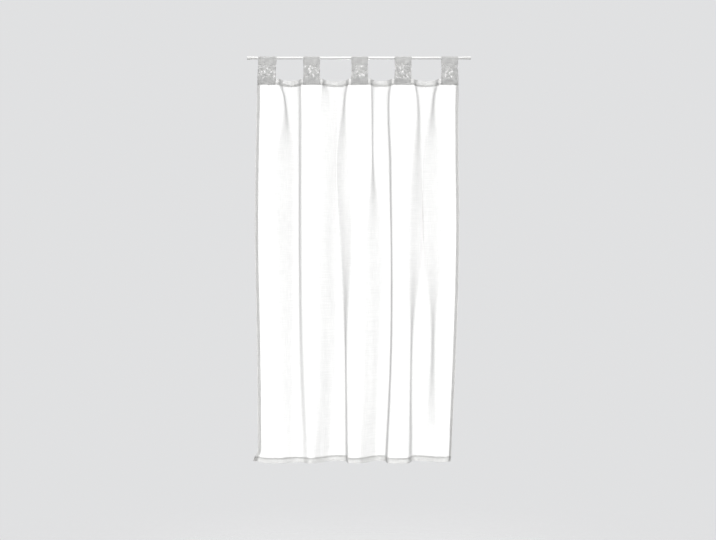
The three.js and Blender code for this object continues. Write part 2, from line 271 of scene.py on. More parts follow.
class Noise:
    """Smooth noise from -1 to 1, the same each run; a cell is one rise or fall of it, across or down."""

    SIZE = 256
    ORIGIN = 64

    def __init__(self, seed, cell_u, cell_z):
        self.table = np.random.default_rng(SEED + seed).uniform(-1, 1, (self.SIZE, self.SIZE))
        self.cell = (cell_u, cell_z)

    def corner(self, i, j):
        return self.table[i % self.SIZE, j % self.SIZE]

    def __call__(self, u, z):
        a = np.asarray(u, float) / self.cell[0] + self.ORIGIN
        b = -np.asarray(z, float) / self.cell[1] + self.ORIGIN
        i = np.floor(a).astype(int)
        j = np.floor(b).astype(int)
        fa = eased_share(a - i)
        fb = eased_share(b - j)
        top = self.corner(i, j) * (1 - fa) + self.corner(i + 1, j) * fa
        low = self.corner(i, j + 1) * (1 - fa) + self.corner(i + 1, j + 1) * fa
        return top * (1 - fb) + low * fb


# The panel's level threads


def inner_places(left, right, tab, z):
    """Places of a fold's three inner points: held flat under a tab, and let go further down."""
    inset = (right - left) * SHOULDER_SHARE
    loose = [left + inset, (left + right) / 2, right - inset]
    if tab is None:
        return loose
    middle, width = tab[0], tab[1]
    reach = width / 2 + TAB_SHOULDER
    freedom = smoothstep(HEADING_LINE - z, 0, HOLD)
    held = [middle - reach, middle, middle + reach]
    return [h + (free - h) * freedom for h, free in zip(held, loose)]


def fold_sides(i, z):
    """Where fold i begins and ends across: at the cloth's edge, or past a wall by half its tuck."""
    left = by_height(LEFT_EDGE, z)
    if i > 0:
        left = by_height(WALLS[i - 1], z) - by_height(TUCKS[i - 1], z) / 2
    right = by_height(RIGHT_EDGE, z)
    if i < len(WALLS):
        right = by_height(WALLS[i], z) + by_height(TUCKS[i], z) / 2
    return left, right


def pulling_points(z):
    """The points that pull the level threads into their folds, for every height at once."""
    tabs = list(TABS.values())
    last = len(FOLDS) - 1
    xs, ys = [], []
    for i in range(last + 1):
        tab = tabs[i // 2] if i % 2 == 0 else None
        depth = by_height(FOLDS[i], z)
        rise = depth - by_height(FOLDS[1 if i == 0 else i - 1], z)
        crown = CROWN * rise * (smoothstep(HEADING_LINE - z, 0, HOLD) if tab else 1)
        rounding = 0 * z if tab else rise * by_height(ROUNDNESS, z)
        left, right = fold_sides(i, z)
        shoulder = depth - rounding * SHOULDER_ROUND
        first_y = depth + by_height(LEFT_CURL, z) if i == 0 else depth - rounding
        last_y = depth + by_height(RIGHT_CURL, z) if i == last else depth - rounding
        xs += [left, *inner_places(left, right, tab, z), right]
        ys += [first_y, shoulder, depth + crown, shoulder, last_y]
    return np.stack([np.stack(xs, 1), np.stack(ys, 1)], 2)


def spline(points):
    """Smooth threads that the points pull towards them, with their ends pinned."""
    pinned = np.concatenate([points[:, :1], points[:, :1], points, points[:, -1:], points[:, -1:]], 1)
    t = np.arange(THREAD_STEPS) / THREAD_STEPS
    pull = np.stack([(1 - t) ** 3, 3 * t**3 - 6 * t**2 + 4, 3 * (t + t**2 - t**3) + 1, t**3], 1) / 6
    windows = np.stack([pinned[:, k : pinned.shape[1] - 3 + k] for k in range(4)], 2)
    line = np.einsum("sk,rwkc->rwsc", pull, windows).reshape(len(points), -1, 2)
    return np.concatenate([line, points[:, -1:]], 1)


def reach_of(lines):
    """How far along its line each point lies, for many lines at once."""
    step = np.linalg.norm(np.diff(lines, axis=1), axis=2)
    return np.concatenate([np.zeros((len(lines), 1)), np.cumsum(step, 1)], 1)


class Panel:
    """The hung cloth as a surface: u runs along a level thread from the left edge, and z is the height."""

    def __init__(self):
        self.z = np.linspace(HEADING_TOP, HEM_BOTTOM, PANEL_ROWS)
        self.u = np.linspace(0, FLAT_WIDTH, PANEL_COLUMNS)
        line = self.drawn_to_width(pulling_points(self.z))
        reach = reach_of(line)
        reach *= FLAT_WIDTH / reach[:, -1:]
        self.x = np.stack([np.interp(self.u, r, row) for r, row in zip(reach, line[:, :, 0])])
        self.y = np.stack([np.interp(self.u, r, row) for r, row in zip(reach, line[:, :, 1])])
        tx = np.gradient(self.x, axis=1)
        ty = np.gradient(self.y, axis=1)
        size = np.hypot(tx, ty)
        self.tx = tx / size
        self.ty = ty / size

    def drawn_to_width(self, points):
        """Threads pulled by the points, their folds so deep that each is as long as the cloth is wide."""
        low = np.full(len(self.z), DEPTH_FACTORS[0])
        high = np.full(len(self.z), DEPTH_FACTORS[1])
        for _ in range(HALVINGS):
            factor = (low + high) / 2
            drawn = points * np.stack([np.ones_like(factor), factor], 1)[:, None, :]
            short = reach_of(spline(drawn))[:, -1] < FLAT_WIDTH
            low = np.where(short, factor, low)
            high = np.where(short, high, factor)
        return spline(drawn)

    def read(self, u, z):
        """Middle point and thread direction at u and z, as x, y, tx, ty."""
        a = np.clip(u, 0, FLAT_WIDTH) / FLAT_WIDTH * (len(self.u) - 1)
        b = np.clip((HEADING_TOP - z) / (HEADING_TOP - HEM_BOTTOM), 0, 1) * (len(self.z) - 1)
        i = np.clip(np.floor(a).astype(int), 0, len(self.u) - 2)
        j = np.clip(np.floor(b).astype(int), 0, len(self.z) - 2)
        fa = a - i
        fb = b - j

        def mixed(table):
            top = table[j, i] * (1 - fa) + table[j, i + 1] * fa
            low = table[j + 1, i] * (1 - fa) + table[j + 1, i + 1] * fa
            return top * (1 - fb) + low * fb

        return [mixed(t) for t in (self.x, self.y, self.tx, self.ty)]

    def place(self, u, z, off):
        """A point of the cloth, off millimetres behind the middle of the frame's own sheet, rumpled."""
        u, z, off = np.broadcast_arrays(np.asarray(u, float), np.asarray(z, float), np.asarray(off, float))
        x, y, tx, ty = self.read(u, z)
        size = np.hypot(tx, ty)
        tx, ty = tx / size, ty / size
        beyond = u - np.clip(u, 0, FLAT_WIDTH)
        lift, rise = rumple(u, z)
        px = x + beyond * tx - ty * (off + lift)
        py = y + beyond * ty + tx * (off + lift)
        back = smoothstep(y, BACK["from"], BACK["to"])
        sag = -SAG["drop"] * back * smoothstep(z, SAG["fades_by"], HEADING_TOP)
        across = 1 - smoothstep(x - by_height(LEFT_EDGE, z), 0, CORNER_FLICK["across"])
        bent = across * smoothstep(HEM_BOTTOM + CORNER_FLICK["high"] - z, 0, CORNER_FLICK["high"])
        px = px - CORNER_FLICK["out"] * bent
        pz = z + sag + CORNER_FLICK["up"] * bent + rise
        return np.stack([px, py, pz], -1)

    def along(self, x, z):
        """Where on the thread at height z a place x of a flat front stretch lies."""
        row = int(round((HEADING_TOP - z) / (HEADING_TOP - HEM_BOTTOM) * (len(self.z) - 1)))
        best = np.argmin(np.abs(self.x[row] - x) + np.abs(self.y[row]) / 2)
        return self.u[best] + (x - self.x[row][best])


ripple_wide = Noise(1, cell_u=34, cell_z=420)
ripple_narrow = Noise(2, cell_u=17, cell_z=190)
hem_pucker = Noise(3, cell_u=6.5, cell_z=16)
top_pucker = Noise(4, cell_u=7.5, cell_z=9)
top_crease = Noise(5, cell_u=15, cell_z=12)
side_pucker = Noise(6, cell_u=30, cell_z=8.5)
hem_wave = Noise(7, cell_u=55, cell_z=60)
tab_pull = Noise(8, cell_u=11, cell_z=60)
low_crease = Noise(9, cell_u=24, cell_z=46)


def rumple(u, z):
    """What hanging, sewing and wear do to the smooth folds: how far back the cloth goes, and how far up."""
    from_edge = np.minimum(u, FLAT_WIDTH - u)
    under_heading = HEADING_LINE - z

    free = smoothstep(under_heading, 0, RIPPLE["starts_over"])
    calm = RIPPLE["at_side"] + (1 - RIPPLE["at_side"]) * smoothstep(from_edge, 0, RIPPLE["side_reach"])
    lift = free * calm * (RIPPLE["wide"] * ripple_wide(u, z) + RIPPLE["narrow"] * ripple_narrow(u, z))

    pull = np.exp(-np.maximum(under_heading, 0) / TAB_PULL["fades_over"])
    pull = pull * smoothstep(HEADING_TOP - z, TAB_PULL["from"], TAB_PULL["full"])
    lift = lift + TAB_PULL["proud"] * pull * tab_pull(u, z)

    pressed = HEM_PUCKER["pressed"] * smoothstep(LOW_SEAM - z, HEM_PUCKER["from"], HEM_PUCKER["full"])
    near_low = smoothstep(z, LOW_SEAM + HEM_PUCKER["above"], LOW_SEAM) * (1 - pressed)
    lift = lift + HEM_PUCKER["proud"] * near_low * hem_pucker(u, z)
    creased = smoothstep(z, HEM_LINE + LOW_CREASE["above"], HEM_LINE)
    lift = lift + LOW_CREASE["proud"] * creased * low_crease(u, z)

    near_top = smoothstep(z, TOP_SEAM - HEADING_CRUMPLE["below"], TOP_SEAM)
    crumple = HEADING_CRUMPLE["pucker"] * top_pucker(u, z) + HEADING_CRUMPLE["crease"] * top_crease(u, z)
    lift = lift + near_top * crumple
    near_side = 1 - smoothstep(from_edge, SIDE_PUCKER["from"], SIDE_PUCKER["to"])
    lift = lift + SIDE_PUCKER["proud"] * near_side * side_pucker(u, z)

    rise = HEM_WAVE["rise"] * smoothstep(z, HEM_LINE + HEM_WAVE["above"], HEM_BOTTOM) * hem_wave(u, z)
    in_heading = smoothstep(z, HEADING_LINE, HEADING_TOP)
    rise = rise + HEADING_WAVE["rise"] * in_heading * top_crease(u * HEADING_WAVE["closer"], z)
    return lift, rise


# Meshes


def new_object(name, data):
    made = bpy.data.objects.new(name, data)
    bpy.context.scene.collection.objects.link(made)
    return made


def mesh_from(name, points, faces, material, uv=None, shift=(ROD_SPAN / 2, 0, 0)):
    """A smooth mesh from points in millimetres, with a flat map in metres where one is given."""
    mesh = bpy.data.meshes.new(name)
    place = (np.asarray(points, float) + np.asarray(shift)) * MM
    mesh.from_pydata([tuple(p) for p in place], [], [tuple(int(k) for k in f) for f in faces])
    mesh.update()
    mesh.polygons.foreach_set("use_smooth", np.ones(len(mesh.polygons), bool))
    if uv is not None:
        layer = mesh.uv_layers.new(name="cloth")
        corner = np.zeros(len(mesh.loops), np.int32)
        mesh.loops.foreach_get("vertex_index", corner)
        layer.data.foreach_set("uv", (np.asarray(uv, float) * MM)[corner].astype(np.float32).ravel())
    mesh.materials.append(material)
    return new_object(name, mesh)


def grid_faces(rows, columns, closed=False):
    """Quads of a grid of points, rows by columns; closed joins each row's last column to its first."""
    wide = columns if closed else columns - 1
    r, c = np.meshgrid(np.arange(rows - 1), np.arange(wide), indexing="ij")
    d = (c + 1) % columns
    quads = np.stack([r * columns + c, (r + 1) * columns + c, (r + 1) * columns + d, r * columns + d], -1)
    return quads.reshape(-1, 4)


def turned_course(start, stop, hem_start, hem_stop, body):
    """The way across a piece of cloth whose two edges are turned twice to the back.

    Gives the place along, the layer's offset behind the face, and the way gone over the flat cloth.
    """
    place, off = [], []

    def bend(at, outward, low, high):
        radius = (high - low) / 2
        for a in BEND_ANGLES:
            place.append(at + outward * radius * math.sin(math.radians(a)))
            off.append((low + high) / 2 - radius * math.cos(math.radians(a)))

    def run(a, b, points, layer):
        for t in np.linspace(0, 1, points):
            place.append(a + (b - a) * t)
            off.append(layer)

    lift = hem_start["step"]
    inner = start + hem_start["turned"]
    run(inner - hem_start["under"], inner, UNDER_POINTS, lift)
    bend(inner, 1, lift, 2 * lift)
    run(inner, start, TURNED_POINTS, 2 * lift)
    outer = len(place)
    bend(start, -1, 0, 2 * lift)
    off[outer:] = off[outer:][::-1]
    place += list(body)
    off += [0.0] * len(body)
    lift = hem_stop["step"]
    bend(stop, 1, 0, 2 * lift)
    inner = stop - hem_stop["turned"]
    run(stop, inner, TURNED_POINTS, 2 * lift)
    turn = len(place)
    bend(inner, -1, lift, 2 * lift)
    off[turn:] = off[turn:][::-1]
    run(inner, inner + hem_stop["under"], UNDER_POINTS, lift)
    place = np.array(place)
    off = np.array(off)
    flat = np.concatenate([[0], np.cumsum(np.hypot(np.diff(place), np.diff(off)))])
    return place, off, flat


def body_places(start, stop, coarse, fine, near):
    """Places from start to stop, fine within near of either end and coarse between."""
    ends = int(round(near / fine))
    middle = int(round((stop - start - 2 * near) / coarse))
    return np.concatenate([
        np.linspace(start, start + near, ends, endpoint=False),
        np.linspace(start + near, stop - near, middle, endpoint=False),
        np.linspace(stop - near, stop, ends + 1),
    ])


# Materials


class Nodes:
    """A material's node tree, built in short calls."""

    BAND = 0.314  # from one band of the wave texture to the next, at a scale of 1

    def __init__(self, name):
        self.material = bpy.data.materials.new(name)
        self.material.use_nodes = True
        self.tree = self.material.node_tree
        self.tree.nodes.clear()

    def add(self, kind, settings=None, **sockets):
        node = self.tree.nodes.new(kind)
        for key, value in (settings or {}).items():
            setattr(node, key, value)
        for key, value in sockets.items():
            self.set(node, key.replace("_", " "), value)
        return node

    def set(self, node, key, value):
        """Links a socket into an input, or sets the input's own value; the key is a name or a number."""
        socket = node.inputs[key]
        if isinstance(value, bpy.types.NodeSocket):
            self.tree.links.new(value, socket)
        else:
            socket.default_value = value

    def where(self):
        return self.add("ShaderNodeTexCoord").outputs["Object"]

    def math(self, operation, a, b):
        node = self.add("ShaderNodeMath", {"operation": operation})
        self.set(node, 0, a)
        self.set(node, 1, b)
        return node.outputs[0]

    def product(self, a, b):
        return self.math("MULTIPLY", a, b)

    def centred(self, value):
        return self.math("SUBTRACT", value, 0.5)

    def ramp(self, value, low, high, to_low, to_high):
        node = self.add("ShaderNodeMapRange", Value=value, From_Min=low, From_Max=high)
        self.set(node, "To Min", to_low)
        self.set(node, "To Max", to_high)
        return node.outputs["Result"]

    def noise(self, vector, scale, detail, stretch=(1, 1, 1)):
        stretched = self.add("ShaderNodeMapping", Vector=vector, Scale=stretch).outputs["Vector"]
        node = self.add("ShaderNodeTexNoise", Vector=stretched, Scale=scale, Detail=detail)
        return node.outputs["Fac"]

    def threads(self, vector, direction, pitch):
        """Bands across the cloth, one for each thread, a little uneven."""
        settings = {"wave_type": "BANDS", "bands_direction": direction}
        node = self.add("ShaderNodeTexWave", settings, Vector=vector, Scale=self.BAND / pitch)
        self.set(node, "Distortion", 0.6)
        self.set(node, "Detail", 1.0)
        self.set(node, "Detail Scale", 0.6)
        return node.outputs["Fac"]

    def bump(self, height, strength, distance):
        node = self.add("ShaderNodeBump", Strength=strength, Distance=distance, Height=height)
        return node.outputs["Normal"]

    def between(self, share, first, second):
        """A colour that goes from the first to the second as share goes from 0 to 1."""
        node = self.add("ShaderNodeMix", {"data_type": "RGBA"})
        self.set(node, 0, share)
        self.set(node, 6, (*first, 1))
        self.set(node, 7, (*second, 1))
        return node.outputs[2]

    def shaded(self, colour, share):
        """A colour darkened evenly where share is under 1."""
        node = self.add("ShaderNodeMix", {"data_type": "RGBA", "blend_type": "MULTIPLY"})
        grey = self.add("ShaderNodeCombineColor", Red=share, Green=share, Blue=share).outputs["Color"]
        self.set(node, 0, 1.0)
        self.set(node, 6, (*colour, 1))
        self.set(node, 7, grey)
        return node.outputs[2]

    def either(self, share, first, second):
        """The first shader, giving way to the second as share goes from 0 to 1."""
        node = self.add("ShaderNodeMixShader")
        self.set(node, 0, share)
        self.set(node, 1, first.outputs[0])
        self.set(node, 2, second.outputs[0])
        return node

    def finish(self, surface):
        self.add("ShaderNodeOutputMaterial", Surface=surface.outputs[0])
        return self.material


def see_through_marks(n):
    """Small bright marks on a tab's free stretch, where gaps between the threads of its two legs line up."""
    where = n.where()
    spots = n.noise(where, scale=MARKS["scale"], detail=1.0, stretch=MARKS["stretch"])
    spots = n.ramp(spots, MARKS["from"], MARKS["full"], 0.0, 1.0)
    height = n.add("ShaderNodeSeparateXYZ", Vector=where).outputs["Z"]
    over_heading = n.ramp(height, *MARKS_LOW, 0.0, 1.0)
    under_rod = n.ramp(height, *MARKS_HIGH, 1.0, 0.0)
    return n.product(spots, n.product(over_heading, under_rod))


def cloth_material(name, colour, opacity, glow, sheen, pitch, uneven, patchy, marked=False):
    """Woven cloth that lets light through: slubby threads, fine weave, soft sheen, thick and thin patches."""
    n = Nodes(name)
    uv = n.add("ShaderNodeUVMap", {"uv_map": "cloth"}).outputs["UV"]
    warp_slubs = n.noise(uv, scale=1.0, detail=3.0, stretch=WARP_SLUBS)
    weft_slubs = n.noise(uv, scale=1.0, detail=3.0, stretch=WEFT_SLUBS)
    slubs = n.math("ADD", warp_slubs, weft_slubs)
    weave = n.product(n.math("ADD", n.threads(uv, "X", pitch), n.threads(uv, "Y", pitch)), 0.5)
    clouds = n.noise(uv, scale=7.0, detail=2.0)
    patches = n.noise(uv, scale=80.0, detail=0.5, stretch=(1.0, 0.7, 1))

    body = n.product(slubs, COVER_MIX["slubs"])
    body = n.math("ADD", body, n.product(n.centred(clouds), COVER_MIX["clouds"]))
    body = n.math("ADD", body, n.product(n.centred(weave), COVER_MIX["threads"]))
    cover = n.ramp(body, 0.3, 0.7, opacity - uneven, opacity + uneven)
    if marked:
        marks = see_through_marks(n)
        cover = n.product(cover, n.ramp(marks, 0.0, 1.0, 1.0, MARKS["cover"]))
        glow = n.ramp(marks, 0.0, 1.0, glow, MARKS["glow"])

    relief = n.math("ADD", n.product(slubs, RELIEF_MIX["slubs"]), n.product(weave, RELIEF_MIX["threads"]))
    bump = n.bump(relief, strength=0.35, distance=0.0003)
    shade = n.product(n.ramp(body, 0.3, 0.7, 0.965, 1.0), n.ramp(patches, 0.35, 0.65, 1 - patchy, 1.0))
    tint = n.shaded(colour, shade)
    rough = n.ramp(slubs, 0.7, 1.3, 0.78, 0.9)
    face = n.add("ShaderNodeBsdfPrincipled", Base_Color=tint, Roughness=rough, Normal=bump, Alpha=cover)
    face.inputs["Sheen Weight"].default_value = sheen
    face.inputs["Sheen Roughness"].default_value = 0.45
    face.inputs["Specular IOR Level"].default_value = 0.3
    through = n.add("ShaderNodeBsdfTranslucent", Color=tint, Normal=bump)
    clear = n.add("ShaderNodeBsdfTransparent")
    return n.finish(n.either(glow, face, n.either(cover, clear, through)))


def thread_material():
    """White sewing thread, twisted."""
    n = Nodes("sewing_thread")
    where = n.where()
    fuzz = n.noise(where, scale=900.0, detail=2.0)
    tone = n.ramp(n.noise(where, scale=60.0, detail=1.0), 0.3, 0.7, 0, 1)
    tint = n.between(tone, (0.84, 0.84, 0.83), (0.93, 0.93, 0.92))
    bump = n.bump(fuzz, strength=0.4, distance=0.0001)
    rough = n.ramp(fuzz, 0.3, 0.7, 0.55, 0.75)
    face = n.add("ShaderNodeBsdfPrincipled", Base_Color=tint, Normal=bump, Roughness=rough)
    face.inputs["Sheen Weight"].default_value = 0.3
    return n.finish(face)


def rod_material():
    """Satin white enamel on a steel tube, a little uneven and faintly drawn along its length."""
    n = Nodes("rod_enamel")
    where = n.where()
    drawn = n.noise(where, scale=1.0, detail=3.0, stretch=(14, 900, 900))
    peel = n.noise(where, scale=1400.0, detail=1.0)
    tone = n.ramp(n.noise(where, scale=30.0, detail=3.0), 0.35, 0.65, 0, 1)
    tint = n.between(tone, (0.86, 0.86, 0.845), (0.91, 0.91, 0.90))
    relief = n.math("ADD", n.product(drawn, 0.5), n.product(peel, 0.3))
    bump = n.bump(relief, strength=0.12, distance=0.0001)
    rough = n.ramp(drawn, 0.3, 0.7, 0.3, 0.46)
    face = n.add("ShaderNodeBsdfPrincipled", Base_Color=tint, Normal=bump, Roughness=rough)
    face.inputs["Coat Weight"].default_value = 0.25
    face.inputs["Coat Roughness"].default_value = 0.25
    return n.finish(face)


def rubber_material():
    """Matt white rubber with a faint grain and handled patches."""
    n = Nodes("white_rubber")
    where = n.where()
    grain = n.noise(where, scale=2200.0, detail=2.0)
    tone = n.ramp(n.noise(where, scale=120.0, detail=3.0), 0.35, 0.65, 0, 1)
    tint = n.between(tone, (0.78, 0.78, 0.765), (0.86, 0.86, 0.85))
    bump = n.bump(grain, strength=0.25, distance=0.0001)
    rough = n.ramp(grain, 0.3, 0.7, 0.55, 0.72)
    face = n.add("ShaderNodeBsdfPrincipled", Base_Color=tint, Normal=bump, Roughness=rough)
    return n.finish(face)


def floor_material():
    """Pale matt floor that thins out to nothing towards its rim."""
    n = Nodes("pale_floor")
    far = n.add("ShaderNodeVectorMath", {"operation": "LENGTH"})
    n.set(far, 0, n.where())
    cover = n.add("ShaderNodeMapRange", {"interpolation_type": "SMOOTHSTEP"}, Value=far.outputs["Value"])
    n.set(cover, "From Min", FLOOR["fades_from"])
    n.set(cover, "From Max", FLOOR["radius"])
    n.set(cover, "To Min", 1.0)
    n.set(cover, "To Max", 0.0)
    face = n.add("ShaderNodeBsdfPrincipled", Base_Color=(0.9, 0.9, 0.9, 1), Roughness=0.85)
    clear = n.add("ShaderNodeBsdfTransparent")
    return n.finish(n.either(cover.outputs["Result"], clear, face))


voile = cloth_material("sheer_voile", **VOILE)
tab_cloth = cloth_material("tab_voile", **TAB_VOILE)
sewing = thread_material()
enamel = rod_material()
rubber = rubber_material()


# The cloth

panel = Panel()


def build_panel():
    """The whole cloth in one sheet, its four edges turned twice and pressed to the back.

    Where two hems cross, the spare layers inside the corner are trimmed away, as they are before sewing.
    """
    body = body_places(0, FLAT_WIDTH, **ACROSS)
    across, across_off, flat_u = turned_course(0, FLAT_WIDTH, SIDE_HEM, SIDE_HEM, body)
    height = HEADING_TOP - HEM_BOTTOM
    body = body_places(0, height, **DOWN)
    down, down_off, flat_v = turned_course(0, height, TOP_HEM, LOW_HEM, body)
    z, u = np.meshgrid(HEADING_TOP - down, across, indexing="ij")
    off = FACE + down_off[:, None] + across_off[None, :]
    points = panel.place(u, z, off)
    v, w = np.meshgrid(-flat_v, flat_u, indexing="ij")
    faces = grid_faces(*u.shape)
    turned_row = np.broadcast_to((down_off > 0)[:, None], u.shape).ravel()
    turned_column = np.broadcast_to((across_off > 0)[None, :], u.shape).ravel()
    trimmed = turned_row[faces].all(1) & turned_column[faces].all(1)
    made = mesh_from(
        "curtain_cloth", points.reshape(-1, 3), faces[~trimmed], voile,
        uv=np.stack([w.ravel(), v.ravel()], 1))
    return made, (flat_u[-1] * MM, flat_v[-1] * MM)


def smoothed(line, rounds=3):
    """The line with its corners cut a few times, its ends kept."""
    for _ in range(rounds):
        a = line[:-1] * 0.75 + line[1:] * 0.25
        b = line[:-1] * 0.25 + line[1:] * 0.75
        line = np.concatenate([line[:1], np.stack([a, b], 1).reshape(-1, line.shape[1]), line[-1:]])
    return line


def resampled(line, step):
    way = way_along(line)
    at = np.linspace(0, way[-1], int(round(way[-1] / step)) + 1)
    return np.stack([np.interp(at, way, line[:, k]) for k in range(line.shape[1])], 1)


def tab_line(slack):
    """The line of a tab's middle over the rod, as depth and height, from its rear end to its front end."""
    back = [(LEG_DEPTH, height) for height in (TAB_END, HEADING_TOP, HEADING_TOP + TAB_GRIP)]
    back += [(LEG_DEPTH + (LOOP_RADIUS - LEG_DEPTH) * spread + slack, height) for height, spread in TAB_LEG]
    for degrees in (0, 30, 60, 90):
        a = math.radians(degrees)
        back.append((LOOP_RADIUS * math.cos(a), LOOP_RADIUS * math.sin(a)))
    front = [(-y, z) for y, z in back[:-1][::-1]]
    return resampled(smoothed(np.array(back + front)), TAB_STEP)


def strap_faces(rings, count, half):
    """Quads along a strap of closed rings, and its two flat ends; half points lie across one face."""
    faces = [tuple(f) for f in grid_faces(rings, count, closed=True)]
    for base in (0, (rings - 1) * count):
        for k in range(half - 1):
            quad = (base + k, base + k + 1, base + 2 * half - k - 1, base + 2 * half - k)
            faces.append(quad if base else quad[::-1])
        right = (base + half - 1, base + half, base + half + 1)
        left = (base, base + 2 * half, base + 2 * half + 1)
        faces.append(right if base else right[::-1])
        faces.append(left[::-1] if base else left)
    return faces


def build_tab(name, index):
    """A strap of two layers pressed flat, looped over the rod and lying on the heading at both ends."""
    middle, width, skew, slack = TABS[name]
    line = tab_line(slack)
    crease = Noise(20 + index, *TAB_CREASE_CELL)
    fine = Noise(30 + index, *TAB_FINE_CELL)
    edge = Noise(40 + index, *TAB_EDGE_CELL)
    u_middle = panel.along(middle, TAB_SEAT)
    tangent = np.gradient(line, axis=0)
    tangent /= np.linalg.norm(tangent, axis=1)[:, None]
    outward = np.stack([tangent[:, 1], -tangent[:, 0]], 1)
    way = way_along(line)
    shares = np.linspace(-1, 1, TAB_POINTS)
    ring = [(s, 1) for s in shares] + [(TAB_BULGE, 0)]
    ring += [(s, -1) for s in shares[::-1]] + [(-TAB_BULGE, 0)]
    rows, maps = [], []
    for (y, z), (oy, oz), gone in zip(line, outward, way):
        up = min(1, max(0, (z - HEADING_TOP) / -HEADING_TOP))
        waist = 1 - TAB_WAIST * math.sin(math.pi * up)
        lean = skew * smoothstep(z, HEADING_TOP + TAB_GRIP, 0)
        sewn = 1 - smoothstep(z, HEADING_TOP - SEWN_DOWN["below"], HEADING_TOP + SEWN_DOWN["above"])
        on_rod = 1 - smoothstep(abs(z - ON_ROD["middle"]), ON_ROD["from"], ON_ROD["to"])
        loose = (1 - sewn) * (1 - ON_ROD["calm"] * on_rod)
        signed_way = gone - way[-1] / 2
        row, flat = [], []
        for s, side in ring:
            noise_row = 3 * np.sign(s)  # each of the two edges waves in its own way
            frayed = TAB_RUMPLE["edge"] * float(edge(noise_row, signed_way)) * abs(s)
            x = middle + s * width / 2 * waist + lean + frayed
            u = u_middle + x - middle
            shared = float(rumple(u, max(z, TAB_END))[0]) if sewn > 0 else 0.0
            fine_here = float(fine(x, signed_way))
            creased = TAB_RUMPLE["crease"] * float(crease(x, signed_way))
            own = loose * (creased + TAB_RUMPLE["fine"] * fine_here)
            pressed = TAB_RUMPLE["sewn"] * sewn * fine_here * (1 if side else 2)  # twice as much at its edges
            thin = 1 - TAB_EDGE_THIN["share"] * abs(s) ** TAB_EDGE_THIN["power"]
            away = side * TAB_LAYER / 2 * thin + own + pressed
            row.append((x, y + oy * away + sewn * shared, z + oz * away))
            flat.append((s * width / 2, gone))
        rows.append(row)
        maps.append(flat)
    points = np.array(rows)
    faces = strap_faces(len(points), len(ring), TAB_POINTS)
    made = mesh_from(
        name + "_strap", points.reshape(-1, 3), faces, tab_cloth, uv=np.array(maps).reshape(-1, 2))
    return made, (width * MM, way[-1] * MM)


# Sewing


def stitches(name, centres, directions, outwards):
    """Short rounded threads, each lying on the cloth at a centre, in one mesh."""
    sides = STITCH["sides"]
    rng = np.random.default_rng(SEED + len(centres))
    points, faces = [], []
    for centre, along, out in zip(centres, directions, outwards):
        along = along / np.linalg.norm(along)
        out = out - along * (out @ along)
        out = out / np.linalg.norm(out)
        wide = np.cross(along, out)
        half = STITCH["length"] / 2 * rng.uniform(*STITCH_LENGTHS)
        base = len(points)
        for place, size in STITCH_SHAPE:
            sink = STITCH["dip"] * STITCH["radius"] * place * place
            for k in range(sides):
                a = 2 * math.pi * k / sides
                around = out * math.cos(a) + wide * math.sin(a)
                points.append(centre + along * place * half + around * STITCH["radius"] * size - out * sink)
        for ring in range(len(STITCH_SHAPE) - 1):
            for k in range(sides):
                m = (k + 1) % sides
                low = base + ring * sides
                faces.append((low + k, low + m, low + sides + m, low + sides + k))
        faces.append(tuple(base + k for k in range(sides))[::-1])
        faces.append(tuple(base + (len(STITCH_SHAPE) - 1) * sides + k for k in range(sides)))
    return mesh_from(name, np.array(points), faces, sewing)


def seam_on_panel(u, z, off, wanted=None):
    """Centres, directions and outward sides of stitches along a course of the panel's front or back."""
    u, z = np.broadcast_arrays(np.asarray(u, float), np.asarray(z, float))
    centre = panel.place(u, z, off)
    u_step, z_step = (SEAM_PROBE, 0.0) if np.ptp(u) > np.ptp(z) else (0.0, -SEAM_PROBE)
    along = panel.place(u + u_step, z + z_step, off) - centre
    under = panel.place(u, z, off - math.copysign(1, off)) - centre
    keep = np.ones(len(u), bool) if wanted is None else wanted
    return centre[keep], along[keep], -under[keep]


def build_seams():
    """The rows of sewing on the panel: heading, bottom hem and side hems, each in front and behind."""
    face = FACE - STITCH_LIFT["front"]
    top_back, low_back, side_back = (
        FACE + 2 * hem["step"] + STITCH_LIFT["back"] for hem in (TOP_HEM, LOW_HEM, SIDE_HEM))
    pitch = STITCH["pitch"]
    u = np.arange(SEAM_ENDS[0], FLAT_WIDTH - SEAM_ENDS[1], pitch)
    bare = np.ones(len(u), bool)
    for middle, width, _, _ in TABS.values():
        bare &= np.abs(u - panel.along(middle, TOP_SEAM)) > width / 2 + SEAM_BY_TAB
    z = np.arange(HEADING_LINE - SIDE_SEAM_ENDS, HEM_LINE + SIDE_SEAM_ENDS, -pitch)
    made = []

    def sew(name, *courses):
        parts = [np.concatenate(group) for group in zip(*courses)]
        made.append(stitches(name, *parts))

    sew("heading_seam", seam_on_panel(u, TOP_SEAM, face, bare), seam_on_panel(u, TOP_SEAM, top_back, bare))
    sew("hem_seam", seam_on_panel(u, LOW_SEAM, face), seam_on_panel(u, LOW_SEAM, low_back))
    for side, place in (("left", SIDE_SEAM), ("right", FLAT_WIDTH - SIDE_SEAM)):
        sew(f"side_seam_{side}", seam_on_panel(place, z, face), seam_on_panel(place, z, side_back))
    return made


